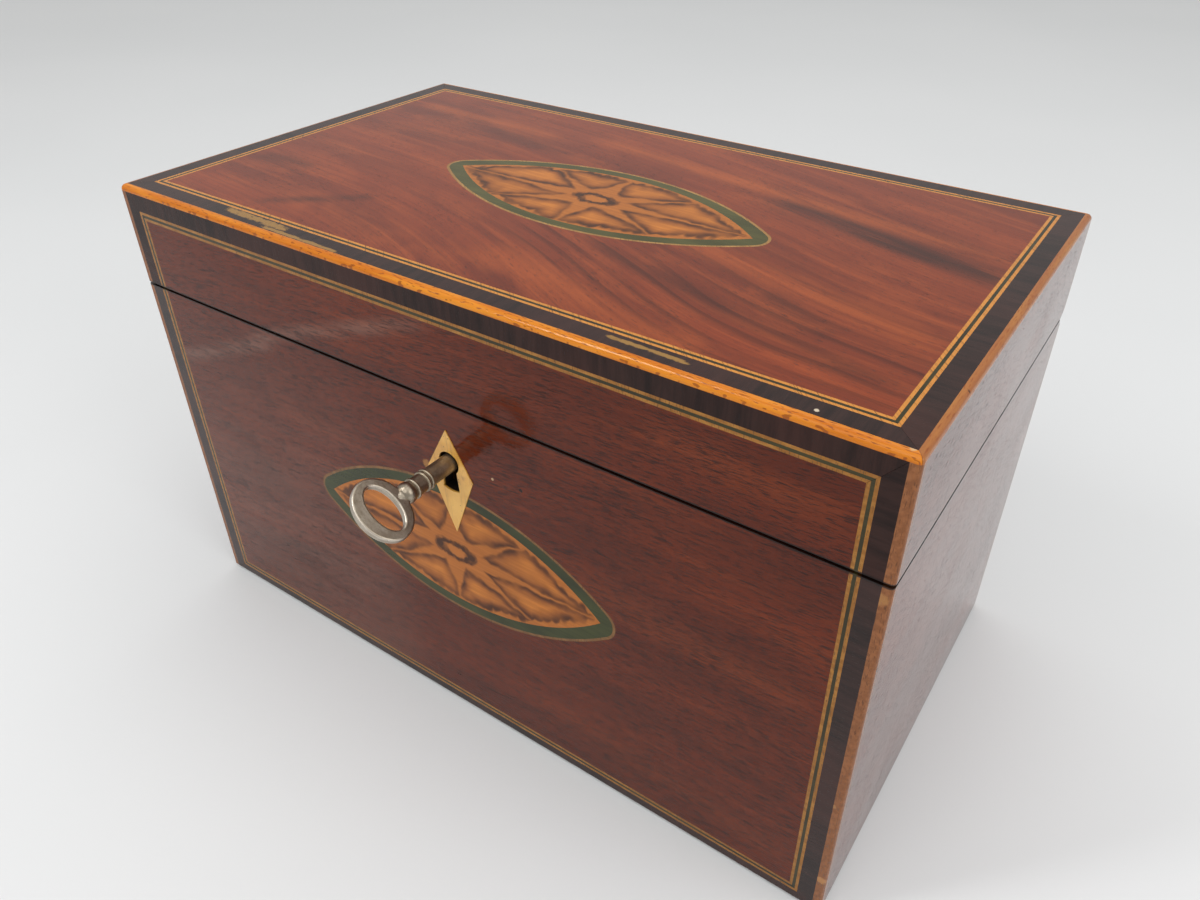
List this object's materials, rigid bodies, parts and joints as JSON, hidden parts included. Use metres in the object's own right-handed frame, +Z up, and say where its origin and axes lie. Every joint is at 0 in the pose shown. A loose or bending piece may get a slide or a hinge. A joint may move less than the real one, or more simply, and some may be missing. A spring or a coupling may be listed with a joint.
{
  "type": "tea caddy",
  "caption": "Rectangular veneered tea caddy with a hinged lid, box lock with key, and lidded tea compartments.",
  "frame": {"origin": "middle of the underside of the box", "axes": "+X to the right along the front, -Y out of the front with the keyhole, +Z up"},
  "size_m": [0.19, 0.1335, 0.118],
  "materials": {
    "baize": "green woollen baize",
    "carcass_wood": "plain sawn pine and mahogany, waxed where it shows",
    "top_mahogany": "french-polished figured mahogany veneer",
    "front_mahogany": "french-polished dark mahogany veneer",
    "end_mahogany": "french-polished dark mahogany veneer",
    "back_mahogany": "french-polished mahogany veneer, duller at the back",
    "crossbanding": "polished dark rosewood, grain across the band",
    "edging_boxwood": "polished boxwood, golden",
    "stringing_boxwood": "polished boxwood line",
    "stringing_green": "green-stained wood line",
    "patera_line": "polished boxwood line",
    "patera_green": "green-stained sycamore, polished",
    "patera_ground": "polished satinwood",
    "patera_petal": "sand-shaded satinwood, polished",
    "patera_rosette": "dark stained wood, polished",
    "bone": "yellowed polished bone",
    "lock_brass": "dull old brass",
    "screw_steel": "darkened steel",
    "lock_steel": "oiled steel",
    "key_steel": "worn polished steel, browned in the hollows",
    "lining_mahogany": "plain mahogany, thinly polished",
    "tea_foil": "old lead-tin tea foil, grey and creased",
    "lining_paper": "faded plain lining paper"
  },
  "bodies": {
    "case": {"base_baize": "baize", "base_bottom_board": "carcass_wood", "base_front_board": "carcass_wood", "base_back_board": "carcass_wood", "base_left_board": "carcass_wood", "base_right_board": "carcass_wood", "base_front_veneer": "front_mahogany", "base_back_veneer": "back_mahogany", "base_end_veneers": "end_mahogany", "base_corner_edging": "edging_boxwood", "base_front_crossbanding": "crossbanding", "base_boxwood_lines": "stringing_boxwood", "base_green_lines": "stringing_green", "front_patera_line": "patera_line", "front_patera_border": "patera_green", "front_patera_ground": "patera_ground", "front_patera_petals": "patera_petal", "front_patera_rosette": "patera_rosette", "escutcheon": "bone", "lock_plate": "lock_brass", "lock_cap": "lock_brass", "lock_drill_pin": "lock_steel", "lock_spring": "lock_steel", "lock_screws": "screw_steel", "base_hinge_leaves": "lock_brass", "hinge_pins": "screw_steel", "base_hinge_screws": "screw_steel", "lining_boards": "lining_mahogany", "compartment_divider": "lining_mahogany", "foil_linings": "tea_foil"},
    "lid": {"lid_edge_moulding": "edging_boxwood", "lid_top_board": "carcass_wood", "lid_front_board": "carcass_wood", "lid_back_board": "carcass_wood", "lid_end_boards": "carcass_wood", "lid_lining_paper": "lining_paper", "lid_top_veneer": "top_mahogany", "lid_front_veneer": "front_mahogany", "lid_back_veneer": "back_mahogany", "lid_end_veneers": "end_mahogany", "lid_corner_edging": "edging_boxwood", "lid_top_crossbanding": "crossbanding", "lid_front_crossbanding": "crossbanding", "lid_boxwood_lines": "stringing_boxwood", "lid_green_lines": "stringing_green", "top_patera_line": "patera_line", "top_patera_border": "patera_green", "top_patera_ground": "patera_ground", "top_patera_petals": "patera_petal", "top_patera_rosette": "patera_rosette", "link_plate": "lock_brass", "link_plate_screws": "screw_steel", "lid_hinge_leaves": "lock_brass", "lid_hinge_screws": "screw_steel"},
    "left_inner_lid": {"left_inner_lid": "lining_mahogany", "left_inner_lid_knob": "bone"},
    "right_inner_lid": {"right_inner_lid": "lining_mahogany", "right_inner_lid_knob": "bone"},
    "key": {"key": "key_steel"},
    "lock_bolt": {"lock_bolt": "lock_steel"}
  },
  "joints": [
    {"name": "lid_hinge", "type": "hinge", "parent": "case", "child": "lid", "pos_m": [0, 0.052, 0.0933], "axis": [-1, 0, 0], "range_deg": [0, 95]},
    {"name": "key_turn", "type": "hinge", "parent": "case", "child": "key", "pos_m": [0.0019, -0.0545, 0.0785], "axis": [0, -1, 0], "range_deg": [-52.3, 307.7]},
    {"name": "bolt_slide", "type": "slide", "parent": "case", "child": "lock_bolt", "axis": [-1, 0, 0], "range_m": [-0.00085, 0.005]},
    {"name": "left_inner_lid_lift", "type": "slide", "parent": "case", "child": "left_inner_lid", "axis": [0, 0, 1], "range_m": [0, 0.018]},
    {"name": "right_inner_lid_lift", "type": "slide", "parent": "case", "child": "right_inner_lid", "axis": [0, 0, 1], "range_m": [0, 0.018]}
  ],
  "couplings": [
    {"joint": "key_turn", "follows": "bolt_slide", "rad_per_m": 1074.1}
  ]
}
